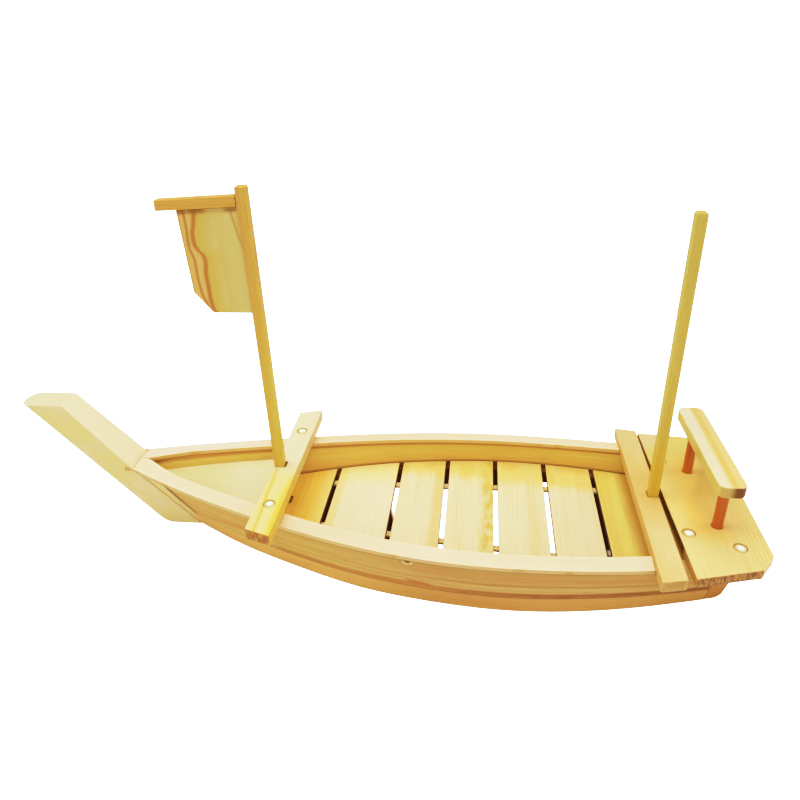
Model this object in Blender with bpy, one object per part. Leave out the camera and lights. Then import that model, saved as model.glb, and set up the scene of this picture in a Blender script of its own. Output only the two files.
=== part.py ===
"""Wooden serving boat: a slatted tray between two curved plank sides, with a raked
stem, a foredeck, two crossbeams, a stern deck with a low rail, and two square masts
that lift out of their steps.

Frame: metres, +Z up, +X towards the stern, +Y to starboard, origin on the table
under the middle of the bounding box. The dimensions below are in millimetres, and
their stations count along X from a point 2.5 mm forward of that origin.
"""

import math

import bmesh
import bpy
import numpy as np
from mathutils import Vector

for stale in list(bpy.data.objects):
    bpy.data.objects.remove(stale, do_unlink=True)

MM = 0.001
GAP = 0.3  # clearance between pieces that touch

# ---------------------------------------------------------------- driving dimensions
BOW_X = -295.0  # foremost point of the stem
STERN_X = 300.0  # aft edge of the stern deck
MIDDLE_X = (BOW_X + STERN_X) / 2  # station of the origin

STEM_TOP_Z = 117.4
STEM_AFT_TOP_X = -256.6  # aft corner of the stem's flat top
STEM_HALF = 12.0  # half of the stem's thickness at its top
STEM_FLARE = (60.0, 14.6)  # height of the stem's widest place, at the caps, and half its aft face there
STEM_FOOT_HALF = 11.5
STEM_AFT_RAKE = 0.85  # how far the aft edge runs aft for each unit down
STEM_FORE_RAKE = 0.855  # the same for the fore edge
STEM_TOE = (4.5, 3.8)  # run and height of the rounded toe
STEM_NOSE = 8.6  # depth of the half-round fore edge

SHEER_LOW_Z = 37.1  # height of the gunwale at its lowest point
SHEER_LOW_X = 165.0
SHEER_CURVE = 1.58e-4
SHEER_FLAT_X = 214.0  # from here aft the top of the sides is level
SHEER_LIFT = (1.1, 120.0)  # extra height of the caps, and the station where it starts to fade out aft

# table of offsets: station, half breadth
GUNWALE_OFFSETS = (
    (-206.0, 14.6), (-160.0, 34.8), (-110.0, 52.2), (-60.0, 67.3), (0.0, 81.8),
    (50.0, 89.4), (105.0, 92.4), (160.0, 90.5), (215.0, 85.5), (286.0, 75.0),
)
FOOT_OFFSETS = (
    (-156.0, 11.2), (-110.0, 36.7), (-60.0, 58.4), (0.0, 79.6), (50.0, 89.6),
    (105.0, 94.9), (160.0, 92.4), (215.0, 83.0), (270.0, 69.2),
)
STERN_FOOT_X = 270.0  # aft face of the transom at the table
STERN_RAKE = 0.17
TRANSOM_THICK = 12.5
TRANSOM_TOE = 6.0

PLANK_THICK = 12.5
PLANK_SWELL = 4.0  # how much thicker the upper strake is down at the tray
CAP_WIDE = 14.3
CAP_THICK = 3.2
CAP_TILT = 1.1  # the cap's inner edge stands this much higher than its outer edge
CAP_TIP_X = -213.0
CAP_PROUD = (1.2, -150.0)  # how far the cap stands out beside the stem, and where that has faded out
CAP_FILL = (5.6, -198.0, -160.0)  # extra width of the caps where they part at the bow, and where that has faded out
SEAM_Z = 12.4  # seam between the lower and the upper strake amidships
SEAM_RISE = (0.25, 0.014)  # how it follows the sheer's rise towards the bow
LEDGE_IN = 23.0  # inner edge of the lower strake's shelf for the slats, from the outer face

TRAY_Z = 19.7  # top of the tray at the station where it is measured
TRAY_LEVEL_X = 60.0
TRAY_SLOPE = -0.018  # the tray falls about one degree towards the stern
SLAT_THICK = 4.7
SLOT = 4.0
SLOT_CENTRES = (-40.8, 16.05, 59.7, 103.9, 148.5, 191.6)
TRAY_FORE_X = -83.7
TRAY_AFT_X = 238.0
BATTEN_WIDE = 6.0
BATTEN_HIGH = 2.5
BATTEN_LINE = {"port": (36.2, 0.108), "starboard": (39.4, 0.04)}  # half breadth at station 58, and how it widens aft
BATTEN_RUN = (-52.0, 216.0)

FOREDECK_THICK = 5.0
FOREDECK_AFT_X = -84.5
FOREDECK_FORE_X = -190.0
FOREDECK_Z = 37.4
FOREDECK_SLOPE = 0.1

BULKHEAD_THICK = 8.0
STERN_BULKHEAD = (241.0, 252.5)

FRONT_BEAM = (-84.1, -63.8)
FRONT_BEAM_HALF = ((86.4, 93.2), (88.6, 94.3))  # port and starboard reach along the fore and the aft edge
FRONT_BEAM_Z = (49.7, 59.2)
STERN_BEAM = (216.0, 234.4)
STERN_BEAM_HALF = (103.0, 99.3)
STERN_BEAM_Z = (33.2, 42.8)
BEAM_HOUSING = (69.0, 87.0, 35.0)  # reach and height of the notch that sits over each side plank
STERN_Z = (35.0, 42.8)
DECK_FORE = ((235.4, 95.2), (240.2, 97.8))  # starboard and port fore corner, cut out of square
DECK_SHOULDER = ((288.0, 88.6), (288.0, 85.5))
DECK_AFT_HALF = 70.0
CLEAT = (288.0, 66.0, 22.0)  # aft face, half length and underside of the cleat behind the transom

MAST_SIDE = 8.0
MAST_FOOT_Z = 6.4
SAIL_MAST_X = -80.1
SAIL_MAST_TOP = 291.5
REAR_MAST_X = 229.9
REAR_MAST_TOP = 271.5
SOCKET = MAST_SIDE + 0.7
FRONT_STEP_Z = (3.0, 16.8)
REAR_STEP_Z = (1.0, 11.3)
YARD_END_X = -144.6
YARD_Z = (277.6, 285.4)  # at the mast
YARD_TILT = 0.044  # the yard droops a little towards its free end
SAIL_FORE_X = (-130.0, -127.7)  # at the yard and at the cut corner
SAIL_FOOT_Z = 197.6
SAIL_THICK = 4.0
SAIL_CORNER = (12.8, 16.4)
TENON = 4.0

RAIL_X = (256.7, 277.0)
RAIL_Y = (-56.8, 60.0)
RAIL_Z = (82.0, 91.5)
RAIL_SKEW = -0.02  # the rail stands slightly out of square
RAIL_ROUND = 6.0
PEGS = (("port", 269.5, -38.2), ("starboard", 265.2, 34.8))
PEG_R = 4.0

PLUG_R = 4.5
FRONT_PLUG = (-74.2, 54.9)
DECK_PLUGS = ((246.6, 48.0), (279.3, 62.5))
SCREW_HEAD_R = 3.3
SCREW_R = 1.7

PALE, CREAM, GOLD, AMBER, DOWEL, STEEL = (
    (0.86, 0.73, 0.47), (0.90, 0.80, 0.58), (0.72, 0.50, 0.20),
    (0.64, 0.42, 0.17), (0.42, 0.15, 0.05), (0.62, 0.61, 0.58),
)


# ---------------------------------------------------------------- curves of the hull
def fair_curve(table):
    """Natural cubic spline through the stations of a table of offsets."""
    xs = np.array([row[0] for row in table])
    ys = np.array([row[1] for row in table])
    n, h = len(xs), np.diff(xs)
    system, right = np.eye(n), np.zeros(n)
    for i in range(1, n - 1):
        system[i, i - 1 : i + 2] = h[i - 1], 2 * (h[i - 1] + h[i]), h[i]
        right[i] = 6 * ((ys[i + 1] - ys[i]) / h[i] - (ys[i] - ys[i - 1]) / h[i - 1])
    bend = np.linalg.solve(system, right)

    def value(x):
        i = int(np.clip(np.searchsorted(xs, x) - 1, 0, n - 2))
        a, b = xs[i + 1] - x, x - xs[i]
        return float(
            (bend[i] * a**3 + bend[i + 1] * b**3) / (6 * h[i])
            + (ys[i] / h[i] - bend[i] * h[i] / 6) * a
            + (ys[i + 1] / h[i] - bend[i + 1] * h[i] / 6) * b
        )

    return value


gunwale_half = fair_curve(GUNWALE_OFFSETS)
foot_half = fair_curve(FOOT_OFFSETS)


def rise(x):
    """How far the line of the gunwale has climbed from its lowest point."""
    return SHEER_CURVE * (min(x, SHEER_FLAT_X) - SHEER_LOW_X) ** 2


def sheer(x):
    """Height of the cap's outer top edge."""
    lift, fade = SHEER_LIFT
    return SHEER_LOW_Z + rise(x) + lift * min(max((SHEER_FLAT_X - x) / (SHEER_FLAT_X - fade), 0.0), 1.0)


def seam(x):
    return SEAM_Z + SEAM_RISE[0] * rise(x) + SEAM_RISE[1] * rise(x) ** 2


def tray_z(x):
    """Height of the top of the slats, and of the line it follows under the decks."""
    return TRAY_Z + TRAY_SLOPE * (min(max(x, -90.0), 245.0) - TRAY_LEVEL_X)


def ledge_z(x):
    """Height of the shelf on the lower strake that carries the slats."""
    return tray_z(x) - SLAT_THICK - GAP


def plank_thick(x, z):
    """Thickness of the upper strake, which swells from its top down to the tray."""
    top = sheer(x) - CAP_THICK - GAP
    return PLANK_THICK + PLANK_SWELL * min(max((top - z) / (top - tray_z(x)), 0.0), 1.5)


def stem_aft(z):
    return STEM_AFT_TOP_X + (STEM_TOP_Z - z) * STEM_AFT_RAKE


def stem_half(z):
    """Half of the stem's aft face, which is widest where the caps meet it."""
    level, wide = STEM_FLARE
    if z > level:
        return STEM_HALF + (wide - STEM_HALF) * (STEM_TOP_Z - z) / (STEM_TOP_Z - level)
    return STEM_FOOT_HALF + (wide - STEM_FOOT_HALF) * z / level


def stern_face(z):
    return STERN_FOOT_X + STERN_RAKE * z


FOOT_START = stem_aft(0.0) + 0.4
GUNWALE_START = FOOT_START
for _ in range(40):
    GUNWALE_START = stem_aft(sheer(GUNWALE_START)) + 0.4
FOOT_END = stern_face(0.0) - TRANSOM_THICK - GAP
GUNWALE_END = stern_face(sheer(SHEER_FLAT_X)) - TRANSOM_THICK - GAP


def rule(s):
    """Ends of the ruling line at station s, from 0 at the stem to 1 at the transom."""
    foot_x = FOOT_START + s * (FOOT_END - FOOT_START)
    top_x = GUNWALE_START + s * (GUNWALE_END - GUNWALE_START)
    return (
        Vector((foot_x, foot_half(foot_x), 0.0)),
        Vector((top_x, gunwale_half(top_x), sheer(top_x))),
    )


def skin(s, z):
    """Point on the hull's outer face at station s and height z."""
    foot, top = rule(s)
    return foot.lerp(top, z / top.z)


def outer(x, z):
    """Half breadth of the hull's outer face at x and z."""
    low, high = -0.05, 1.15
    for _ in range(50):
        middle = (low + high) / 2
        if skin(middle, z).x < x:
            low = middle
        else:
            high = middle
    return skin((low + high) / 2, z).y


def inside(x, z):
    """Half breadth of the inner face of the upper strake."""
    return outer(x, z) - plank_thick(x, z)


# ---------------------------------------------------------------- building helpers
def finish(name, bm, colour, roughness=0.55, metallic=0.0, origin=(0, 0, 0), smooth=None):
    """An object from a mesh built in millimetres on the stations, with its own material."""
    base = Vector(origin)
    for vertex in bm.verts:
        vertex.co = (vertex.co - base) * MM
    bmesh.ops.recalc_face_normals(bm, faces=bm.faces)
    mesh = bpy.data.meshes.new(name)
    bm.to_mesh(mesh)
    bm.free()
    obj = bpy.data.objects.new(name, mesh)
    obj.location = (base - Vector((MIDDLE_X, 0, 0))) * MM
    bpy.context.scene.collection.objects.link(obj)
    material = bpy.data.materials.new(name + "_finish")
    material.use_nodes = True
    shader = material.node_tree.nodes["Principled BSDF"]
    shader.inputs["Base Color"].default_value = (*colour, 1.0)
    shader.inputs["Roughness"].default_value = roughness
    shader.inputs["Metallic"].default_value = metallic
    material.diffuse_color = (*colour, 1.0)
    mesh.materials.append(material)
    if smooth is not None:
        mesh.shade_smooth()
        mesh.set_sharp_from_angle(angle=math.radians(smooth))
    return obj


def prism(outline, axis, low, high):
    """A flat outline, given in the two axes other than axis, pushed from low to high."""
    bm = bmesh.new()
    order = {"X": lambda a, b, c: (c, a, b), "Y": lambda a, b, c: (a, c, b), "Z": lambda a, b, c: (a, b, c)}[axis]
    face = bm.faces.new([bm.verts.new(order(a, b, low)) for a, b in outline])
    moved = bmesh.ops.extrude_face_region(bm, geom=[face])
    shift = Vector(order(0.0, 0.0, high - low))
    bmesh.ops.translate(bm, vec=shift, verts=[v for v in moved["geom"] if isinstance(v, bmesh.types.BMVert)])
    bmesh.ops.recalc_face_normals(bm, faces=bm.faces)
    return bm


def block(x, y, z):
    return prism([(x[0], y[0]), (x[1], y[0]), (x[1], y[1]), (x[0], y[1])], "Z", *z)


def loft(rings):
    """Closed rings of points joined in turn and capped at both ends."""
    bm = bmesh.new()
    rows = [[bm.verts.new(p) for p in ring] for ring in rings]
    count = len(rows[0])
    for a, b in zip(rows, rows[1:]):
        for i in range(count):
            j = (i + 1) % count
            bm.faces.new((a[i], a[j], b[j], b[i]))
    bm.faces.new(rows[0][::-1])
    bm.faces.new(rows[-1])
    bmesh.ops.recalc_face_normals(bm, faces=bm.faces)
    return bm


def turned(profile, x, y, steps=24):
    """A solid of revolution about a vertical line; profile rows are radius, height."""
    bm = bmesh.new()
    bottom = bm.verts.new((x, y, profile[0][1]))
    top = bm.verts.new((x, y, profile[-1][1]))
    rows = [
        [
            bm.verts.new((x + r * math.cos(2 * math.pi * k / steps), y + r * math.sin(2 * math.pi * k / steps), z))
            for k in range(steps)
        ]
        for r, z in profile
    ]
    for a, b in zip(rows, rows[1:]):
        for k in range(steps):
            j = (k + 1) % steps
            bm.faces.new((a[k], a[j], b[j], b[k]))
    for k in range(steps):
        j = (k + 1) % steps
        bm.faces.new((bottom, rows[0][j], rows[0][k]))
        bm.faces.new((top, rows[-1][k], rows[-1][j]))
    bmesh.ops.recalc_face_normals(bm, faces=bm.faces)
    return bm


def round_edges(bm, wanted, radius, segments):
    edges = [e for e in bm.edges if wanted(e.verts[0].co, e.verts[1].co)]
    bmesh.ops.bevel(bm, geom=edges, offset=radius, segments=segments, profile=0.5, affect="EDGES", clamp_overlap=True)


def mirrored(bm):
    for vertex in bm.verts:
        vertex.co.y = -vertex.co.y
    bmesh.ops.reverse_faces(bm, faces=bm.faces)
    return bm


def cut(obj, name, bm):
    tool = finish(name, bm, (0.5, 0.5, 0.5))
    tool.hide_render = True
    tool.display_type = "WIRE"
    change = obj.modifiers.new(name, "BOOLEAN")
    change.operation = "DIFFERENCE"
    change.solver = "EXACT"
    change.object = tool


def bore(obj, name, x, y, rows, steps=24):
    """A stepped round hole; rows are radius, height from bottom to top."""
    cut(obj, name, turned(rows, x, y, steps))


SIDES = (("port", True), ("starboard", False))  # port is the -Y side

# ---------------------------------------------------------------- stem
def stem_ring(z, toe):
    """A level slice of the stem: flat aft edge, straight sides, half-round nose."""
    nose = BOW_X + (STEM_TOP_Z - z) * STEM_FORE_RAKE + toe
    arc = [math.radians(-90 + 15 * k) for k in range(13)]
    half = min(STEM_HALF, stem_half(z))
    return (
        [(stem_aft(z), -stem_half(z), z)]
        + [(nose + STEM_NOSE * (1 - math.cos(a)), half * math.sin(a), z) for a in arc]
        + [(stem_aft(z), stem_half(z), z)]
    )


turn = [math.radians(90 - 15 * k) for k in range(7)]
rings = [stem_ring(STEM_TOE[1] * (1 - math.sin(a)), STEM_TOE[0] * (1 - math.cos(a))) for a in turn]
rings += [stem_ring(STEM_FLARE[0], 0.0), stem_ring(STEM_TOP_Z, 0.0)]
finish("stem", loft(rings), GOLD, smooth=35)

# ---------------------------------------------------------------- sides
STATIONS = [i / 44 for i in range(45)]


def lower_ring(s):
    at_seam = skin(s, seam(skin(s, 18.0).x) - GAP / 2)
    ledge = ledge_z(at_seam.x)
    if abs(at_seam.z - ledge) < 0.2:
        ledge = at_seam.z - 0.2
    shelf, foot = skin(s, ledge), skin(s, 0.0)
    wall = max(1.2, at_seam.y - plank_thick(at_seam.x, at_seam.z) - GAP - 0.1)
    lip = max(GAP, shelf.y - LEDGE_IN)
    low = max(GAP, foot.y - LEDGE_IN)
    return [
        foot, at_seam,
        Vector((at_seam.x, wall, at_seam.z)), Vector((shelf.x, wall, ledge)),
        Vector((shelf.x, lip, ledge)), Vector((foot.x, low, 0.0)),
    ]


def upper_ring(s):
    foot, top = rule(s)
    low = skin(s, seam(skin(s, 18.0).x) + GAP / 2)
    high = skin(s, top.z - CAP_THICK - GAP)
    tilt = CAP_TILT * PLANK_THICK / CAP_WIDE
    return [
        low, high,
        Vector((high.x, max(GAP, high.y - PLANK_THICK), high.z + tilt)),
        Vector((low.x, max(GAP, low.y - plank_thick(low.x, low.z)), low.z)),
    ]


CAP_STEP_X = stem_aft(sheer(GUNWALE_START) - CAP_THICK) + 0.6
CAP_END_X = STERN_BEAM[0] - GAP


def cap_half(x):
    proud, fade = CAP_PROUD
    return gunwale_half(x) + proud * min(max((fade - x) / (fade - GUNWALE_START), 0.0), 1.0)


def cap_inner(x, half):
    extra, start, fade = CAP_FILL
    return max(GAP, half - CAP_WIDE - extra * max((fade - x) / (fade - start), 0.0) ** 2)


def cap_ring(x, beside_stem):
    if x < GUNWALE_START:
        start = cap_half(GUNWALE_START)
        share = (x - CAP_TIP_X) / (GUNWALE_START - CAP_TIP_X)
        half = STEM_FLARE[1] + GAP + 0.8 + share * (start - STEM_FLARE[1] - GAP - 0.8)
    else:
        half = cap_half(x)
    inner = STEM_FLARE[1] + GAP if beside_stem else cap_inner(x, half)
    lift = CAP_TILT * (half - inner) / CAP_WIDE
    z = sheer(x)
    return [(x, half, z - CAP_THICK), (x, half, z), (x, inner, z + lift), (x, inner, z + lift - CAP_THICK)]


cap_stations = [CAP_TIP_X + i * (CAP_STEP_X - CAP_TIP_X) / 4 for i in range(5)]
cap_rings = [cap_ring(x, True) for x in cap_stations]
cap_stations = [CAP_STEP_X + 0.2 + i * (CAP_END_X - CAP_STEP_X - 0.2) / 40 for i in range(41)]
cap_stations[1:1] = [CAP_FILL[1] - 3.5, CAP_FILL[1]]
cap_rings += [cap_ring(x, False) for x in cap_stations]

hull = {}
for side, flip in SIDES:
    for kind, rings, colour in (
        ("lower_strake", [lower_ring(s) for s in STATIONS], AMBER),
        ("upper_strake", [upper_ring(s) for s in STATIONS], AMBER),
        ("gunwale_cap", cap_rings, CREAM),
    ):
        bm = loft(rings)
        hull[side, kind] = finish(f"{side}_{kind}", mirrored(bm) if flip else bm, colour, smooth=30)

# ---------------------------------------------------------------- transom and bulkheads
TRANSOM_TOP = STERN_Z[0] - GAP
levels = [0.0, 12.0, 24.0, TRANSOM_TOP]
rings = []
for z in levels:
    aft = stern_face(z)
    fore = aft - TRANSOM_THICK
    rings.append([(fore, -outer(fore, z), z), (aft, -outer(aft, z), z), (aft, outer(aft, z), z), (fore, outer(fore, z), z)])
bm = loft(rings)
round_edges(
    bm,
    lambda a, b: abs(a.z) < 0.01 and abs(b.z) < 0.01 and a.y * b.y < 0 and a.x > STERN_FOOT_X - 1.0,
    TRANSOM_TOE, 4,
)
transom = finish("transom", bm, AMBER, smooth=35)

front_wall_x = (FOREDECK_AFT_X + 0.1 - BULKHEAD_THICK, FOREDECK_AFT_X + 0.1)
foredeck_bottom = FOREDECK_Z - FOREDECK_THICK
wall_low, wall_high = ledge_z(front_wall_x[0]) + GAP, foredeck_bottom - GAP
side_low = inside(front_wall_x[0], wall_low) - 0.6
side_high = inside(front_wall_x[0], wall_high) - 0.6
finish(
    "front_bulkhead",
    prism([(-side_low, wall_low), (side_low, wall_low), (side_high, wall_high), (-side_high, wall_high)], "X", *front_wall_x),
    GOLD,
)
wall_low = ledge_z(STERN_BULKHEAD[0]) + GAP
side_low = min(inside(x, wall_low) for x in STERN_BULKHEAD) - 0.6
side_high = min(inside(x, STERN_Z[0]) for x in STERN_BULKHEAD) - 0.6
stern_bulkhead = finish(
    "stern_bulkhead",
    prism(
        [(-side_low, wall_low), (side_low, wall_low), (side_high, STERN_Z[0] - GAP), (-side_high, STERN_Z[0] - GAP)],
        "X", *STERN_BULKHEAD,
    ),
    GOLD,
)
cleat_aft, cleat_half, cleat_low = CLEAT
stern_cleat = finish(
    "stern_cleat",
    prism(
        [
            (stern_face(cleat_low) + GAP, cleat_low), (cleat_aft, cleat_low),
            (cleat_aft, TRANSOM_TOP), (stern_face(TRANSOM_TOP) + GAP, TRANSOM_TOP),
        ],
        "Y", -cleat_half, cleat_half,
    ),
    GOLD,
)

# ---------------------------------------------------------------- foredeck
rings = []
for i in range(13):
    x = FOREDECK_FORE_X + i * (FOREDECK_AFT_X - FOREDECK_FORE_X) / 12
    top = FOREDECK_Z + FOREDECK_SLOPE * (FOREDECK_AFT_X - x)
    half = min(inside(x, top), inside(x, top - FOREDECK_THICK)) - 0.6
    rings.append([(x, -half, top - FOREDECK_THICK), (x, half, top - FOREDECK_THICK), (x, half, top), (x, -half, top)])
finish("foredeck", loft(rings), PALE, smooth=30)

# ---------------------------------------------------------------- slatted tray
def slat_half(x):
    return min(inside(x, tray_z(x)), inside(x, tray_z(x) - SLAT_THICK)) - 0.6


def sloped(bm):
    """A level piece of the tray, tipped to the tray's slope."""
    for vertex in bm.verts:
        vertex.co.z += tray_z(vertex.co.x) - TRAY_Z
    return bm


edges = [TRAY_FORE_X]
for centre in SLOT_CENTRES:
    edges += [centre - SLOT / 2, centre + SLOT / 2]
edges.append(TRAY_AFT_X)
for number, (fore, aft) in enumerate(zip(edges[0::2], edges[1::2]), 1):
    run = [fore + i * (aft - fore) / 6 for i in range(7)]
    outline = [(x, -slat_half(x)) for x in run] + [(x, slat_half(x)) for x in reversed(run)]
    if number == 1:  # notch round the foot of the fore mast
        outline += [(fore, 5.2), (SAIL_MAST_X + 6.1, 5.2), (SAIL_MAST_X + 6.1, -5.2), (fore, -5.2)]
    if number == len(edges) // 2:  # notch round the foot of the rear mast
        outline = outline[:7] + [(aft, -6.5), (REAR_MAST_X - 6.4, -6.5), (REAR_MAST_X - 6.4, 6.5), (aft, 6.5)] + outline[7:]
    finish(f"tray_slat_{number}", sloped(prism(outline, "Z", TRAY_Z - SLAT_THICK, TRAY_Z)), PALE)


def batten_mid(side, x):
    middle, spread = BATTEN_LINE[side]
    return middle + spread * (x - 58.0)


for side, flip in SIDES:
    outline = [(x, batten_mid(side, x) - BATTEN_WIDE / 2) for x in BATTEN_RUN]
    outline += [(x, batten_mid(side, x) + BATTEN_WIDE / 2) for x in reversed(BATTEN_RUN)]
    batten_top = TRAY_Z - SLAT_THICK - GAP
    bm = sloped(prism(outline, "Z", batten_top - BATTEN_HIGH, batten_top))
    finish(f"{side}_tray_batten", mirrored(bm) if flip else bm, GOLD)

# ---------------------------------------------------------------- mast steps
for name, mast_x, run, height in (
    ("front_mast_step", SAIL_MAST_X, (front_wall_x[0], -66.0), FRONT_STEP_Z),
    ("rear_mast_step", REAR_MAST_X, (214.0, STERN_BULKHEAD[1]), REAR_STEP_Z),
):
    step = finish(name, block(run, (-13.0, 13.0), height), GOLD)
    reach = SOCKET / 2
    cut(
        step, name + "_socket",
        block((mast_x - reach, mast_x + reach), (-reach, reach), (MAST_FOOT_Z - GAP, height[1] + 5.0)),
    )

# ---------------------------------------------------------------- beams and stern deck
notch = SOCKET / 2
fore, aft = FRONT_BEAM
port_reach, starboard_reach = FRONT_BEAM_HALF
front_beam = finish(
    "front_crossbeam",
    prism(
        [
            (fore, -port_reach[0]), (aft, -port_reach[1]), (aft, starboard_reach[1]), (fore, starboard_reach[0]),
            (fore, notch), (SAIL_MAST_X + MAST_SIDE / 2 + 2.0, notch),
            (SAIL_MAST_X + MAST_SIDE / 2 + 2.0, -notch), (fore, -notch),
        ],
        "Z", *FRONT_BEAM_Z,
    ),
    CREAM,
)
fore, aft = STERN_BEAM
half_fore, half_aft = STERN_BEAM_HALF
stern_beam = finish(
    "stern_crossbeam",
    prism(
        [
            (fore, -half_fore), (aft, -half_aft), (aft, -notch), (REAR_MAST_X - notch, -notch),
            (REAR_MAST_X - notch, notch), (aft, notch), (aft, half_aft), (fore, half_fore),
        ],
        "Z", *STERN_BEAM_Z,
    ),
    CREAM,
)
for side, sign in (("port", -1), ("starboard", 1)):
    reach = sorted((sign * BEAM_HOUSING[0], sign * BEAM_HOUSING[1]))
    cut(stern_beam, f"{side}_housing", block((fore - 3.0, aft + 3.0), reach, (STERN_BEAM_Z[0] - 4.0, BEAM_HOUSING[2])))
stern_deck = finish(
    "stern_deck",
    prism(
        [
            (DECK_FORE[1][0], -DECK_FORE[1][1]), (DECK_SHOULDER[1][0], -DECK_SHOULDER[1][1]), (STERN_X, -DECK_AFT_HALF),
            (STERN_X, DECK_AFT_HALF), DECK_SHOULDER[0], DECK_FORE[0],
        ],
        "Z", *STERN_Z,
    ),
    CREAM,
)

# ---------------------------------------------------------------- stern rail and its pegs
bm = block(RAIL_X, RAIL_Y, RAIL_Z)
round_edges(bm, lambda a, b: abs(a.z - b.z) > 1.0, RAIL_ROUND, 4)
for vertex in bm.verts:
    vertex.co.x += RAIL_SKEW * vertex.co.y
rail = finish("stern_rail", bm, CREAM, smooth=35)
PEG_Z = (STERN_Z[1] - 4.6, RAIL_Z[0] + 4.6)
for side, x, y in PEGS:
    finish(f"{side}_rail_peg", turned([(PEG_R, PEG_Z[0]), (PEG_R, PEG_Z[1])], x, y), DOWEL, smooth=35)
    hole = PEG_R + GAP
    bore(stern_deck, f"{side}_peg_hole", x, y, [(hole, PEG_Z[0] - GAP), (hole, STERN_Z[1] + 5.0)])
    bore(rail, f"{side}_rail_hole", x, y, [(hole, RAIL_Z[0] - 5.0), (hole, PEG_Z[1] + GAP)])

# ---------------------------------------------------------------- screws and wooden plugs
def fasten(name, x, y, top, tip, plug_thick, boards):
    """A countersunk screw under a wooden plug, and its holes through the boards."""
    head_top = top - plug_thick - GAP
    neck = head_top - 1.8
    finish(f"{name}_plug", turned([(PLUG_R, top - plug_thick), (PLUG_R, top)], x, y), CREAM, smooth=35)
    finish(
        f"{name}_screw",
        turned([(0.4, tip), (SCREW_R, tip + 4.0), (SCREW_R, neck), (SCREW_HEAD_R, head_top)], x, y, 16),
        STEEL, 0.35, 1.0, smooth=35,
    )
    well = neck - GAP
    for number, (board, high) in enumerate(boards):
        rows = [(SCREW_R + GAP, tip - GAP), (SCREW_R + GAP, high)]
        if number == 0:
            rows = [(SCREW_R + GAP, tip - GAP), (SCREW_R + GAP, well), (PLUG_R + GAP, well), (PLUG_R + GAP, high)]
        bore(board, f"{name}_hole_{number}", x, y, rows)


for side, sign in (("port", -1), ("starboard", 1)):
    fasten(
        f"{side}_beam", FRONT_PLUG[0], sign * FRONT_PLUG[1], FRONT_BEAM_Z[1], 30.0, 3.2,
        ((front_beam, FRONT_BEAM_Z[1] + 5.0), (hull[side, "gunwale_cap"], 61.0), (hull[side, "upper_strake"], 61.0)),
    )
    fasten(
        f"{side}_deck_fore", DECK_PLUGS[0][0], sign * DECK_PLUGS[0][1], STERN_Z[1], 20.0, 2.6,
        ((stern_deck, STERN_Z[1] + 5.0), (stern_bulkhead, STERN_Z[0] + 5.0)),
    )
    fasten(
        f"{side}_deck_aft", DECK_PLUGS[1][0], sign * DECK_PLUGS[1][1], STERN_Z[1], 26.0, 2.6,
        ((stern_deck, STERN_Z[1] + 5.0), (stern_cleat, STERN_Z[0] + 5.0)),
    )

# ---------------------------------------------------------------- masts, which lift out
side = MAST_SIDE / 2
sail_axis = (SAIL_MAST_X, 0.0, MAST_FOOT_Z)
bm = block((SAIL_MAST_X - side, SAIL_MAST_X + side), (-side, side), (MAST_FOOT_Z, SAIL_MAST_TOP))
round_edges(bm, lambda a, b: a.z > SAIL_MAST_TOP - 1 and b.z > SAIL_MAST_TOP - 1, 1.0, 2)
sail_mast = finish("sail_mast", bm, GOLD, origin=sail_axis)
tenon_z = ((YARD_Z[0] + YARD_Z[1] - TENON) / 2, (YARD_Z[0] + YARD_Z[1] + TENON) / 2)
mast_fore = SAIL_MAST_X - side
cut(
    sail_mast, "yard_mortise",
    block(
        (mast_fore - 5.0, mast_fore + TENON + GAP), (-TENON / 2 - GAP, TENON / 2 + GAP),
        (tenon_z[0] - GAP, tenon_z[1] + GAP),
    ),
)


def square(x, half, low, high):
    return [(x, -half, low), (x, half, low), (x, half, high), (x, -half, high)]


droop = (mast_fore - YARD_END_X) * YARD_TILT
bm = loft([
    square(YARD_END_X, side, YARD_Z[0] - droop, YARD_Z[1] - droop), square(mast_fore - GAP, side, *YARD_Z),
    square(mast_fore - GAP + 0.02, TENON / 2, *tenon_z), square(mast_fore + TENON, TENON / 2, *tenon_z),
])
yard = finish("sail_yard", bm, GOLD, origin=sail_axis)
head = YARD_Z[0] - GAP
bm = prism(
    [
        (mast_fore - GAP, head), (SAIL_FORE_X[0], head - (mast_fore - SAIL_FORE_X[0]) * YARD_TILT),
        (SAIL_FORE_X[1], SAIL_FOOT_Z + SAIL_CORNER[1]),
        (SAIL_FORE_X[1] + SAIL_CORNER[0], SAIL_FOOT_Z), (mast_fore - GAP, SAIL_FOOT_Z),
    ],
    "Y", -SAIL_THICK / 2, SAIL_THICK / 2,
)
panel = finish("sail_panel", bm, GOLD, origin=sail_axis)
bpy.context.view_layer.update()
for piece in (yard, panel):
    piece.parent = sail_mast
    piece.location = (0, 0, 0)

bm = block((REAR_MAST_X - side, REAR_MAST_X + side), (-side, side), (MAST_FOOT_Z, REAR_MAST_TOP))
round_edges(bm, lambda a, b: a.z > REAR_MAST_TOP - 1 and b.z > REAR_MAST_TOP - 1, 2.4, 3)
finish("rear_mast", bm, GOLD, origin=(REAR_MAST_X, 0.0, MAST_FOOT_Z))

bpy.context.view_layer.update()
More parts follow.
